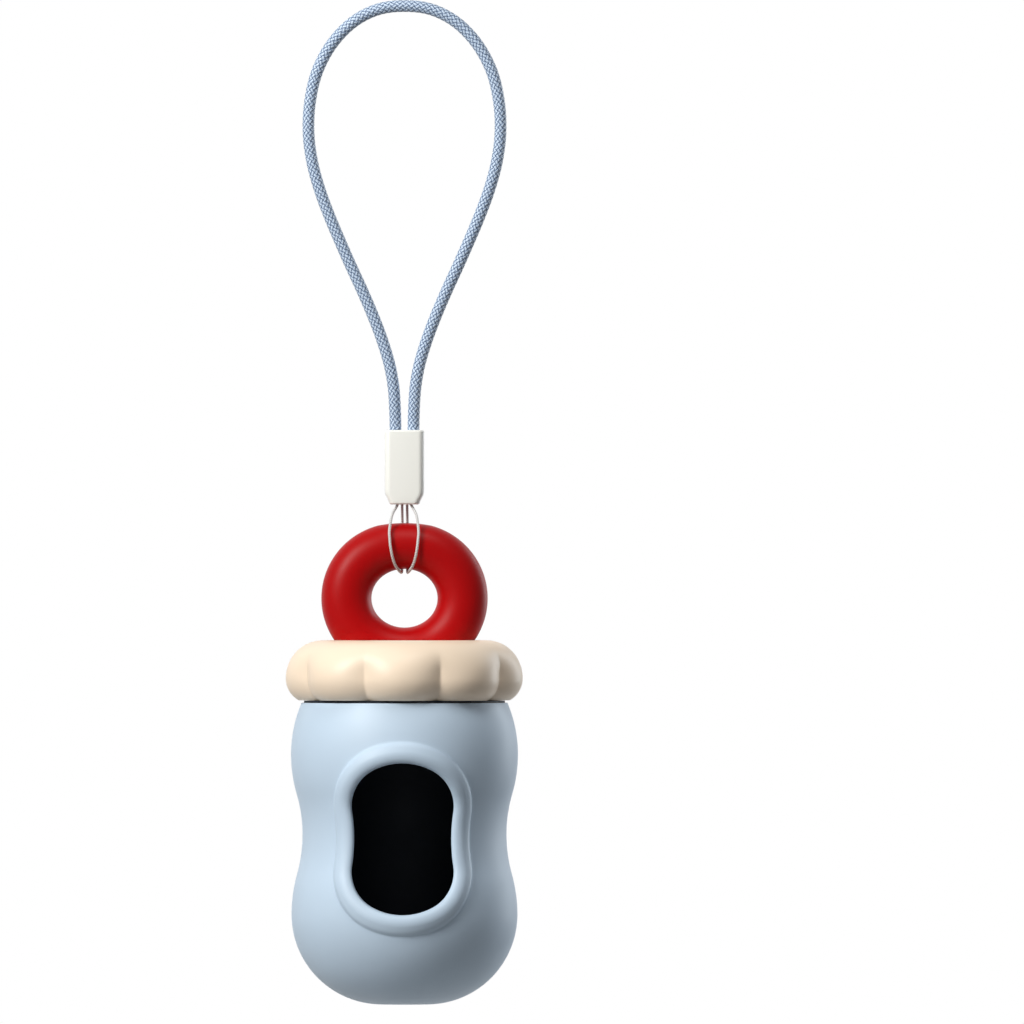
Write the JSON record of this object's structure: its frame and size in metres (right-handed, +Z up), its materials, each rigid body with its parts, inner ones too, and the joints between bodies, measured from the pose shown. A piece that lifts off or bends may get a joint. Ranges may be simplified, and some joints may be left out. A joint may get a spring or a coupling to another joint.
{
  "type": "waste bag dispenser",
  "caption": "Hanging dispenser for a roll of dog waste bags: a soft hourglass bottle with a peanut window, a lobed push-fit cap with a half-round ring, and a wrist cord.",
  "frame": {"origin": "inside of the top of the wrist loop, on its centre line, where a finger or hook holds it", "axes": "+Z up along the hanging axis; the window faces -Y; +X to the right as seen from the front"},
  "size_m": [0.0474, 0.047, 0.2008],
  "materials": {
    "cord_weave": "satin braided cord, pale blue",
    "sleeve_plastic": "smooth moulded plastic, cream white",
    "thread": "twisted thread, pale grey",
    "ring_rubber": "smooth dyed silicone rubber, satin, red",
    "screw_steel": "plain steel",
    "cap_plastic": "smooth moulded plastic, warm cream",
    "plug_plastic": "smooth moulded plastic, off-white",
    "band_rubber": "soft dark rubber",
    "cup_plastic": "moulded plastic, near black",
    "silicone": "soft silicone rubber, satin, pale grey-blue"
  },
  "bodies": {
    "strap": {"wrist_cord": "cord_weave", "cord_sleeve": "sleeve_plastic", "thread_knot": "thread"},
    "thread": {"thread_loop_left": "thread", "thread_loop_right": "thread"},
    "cap": {"ring": "ring_rubber", "ring_screws": "screw_steel", "cap_cover": "cap_plastic", "cap_plug": "plug_plastic", "grip_band": "band_rubber"},
    "bottle": {"inner_cup": "cup_plastic", "bottle_skin": "silicone"}
  },
  "joints": [
    {"name": "thread_swing", "type": "hinge", "parent": "strap", "child": "thread", "pos_m": [0, 0, -0.0983], "axis": [0, 1, 0], "range_deg": [-60, 60], "deforming": ["thread_loop_left", "thread_loop_right"]},
    {"name": "ring_swing", "type": "hinge", "parent": "thread", "child": "cap", "pos_m": [0, 0, -0.10695], "axis": [1, 0, 0], "range_deg": [-90, 90]},
    {"name": "bottle_pull", "type": "slide", "parent": "cap", "child": "bottle", "axis": [0, 0, -1], "range_m": [0, 0.014]}
  ]
}
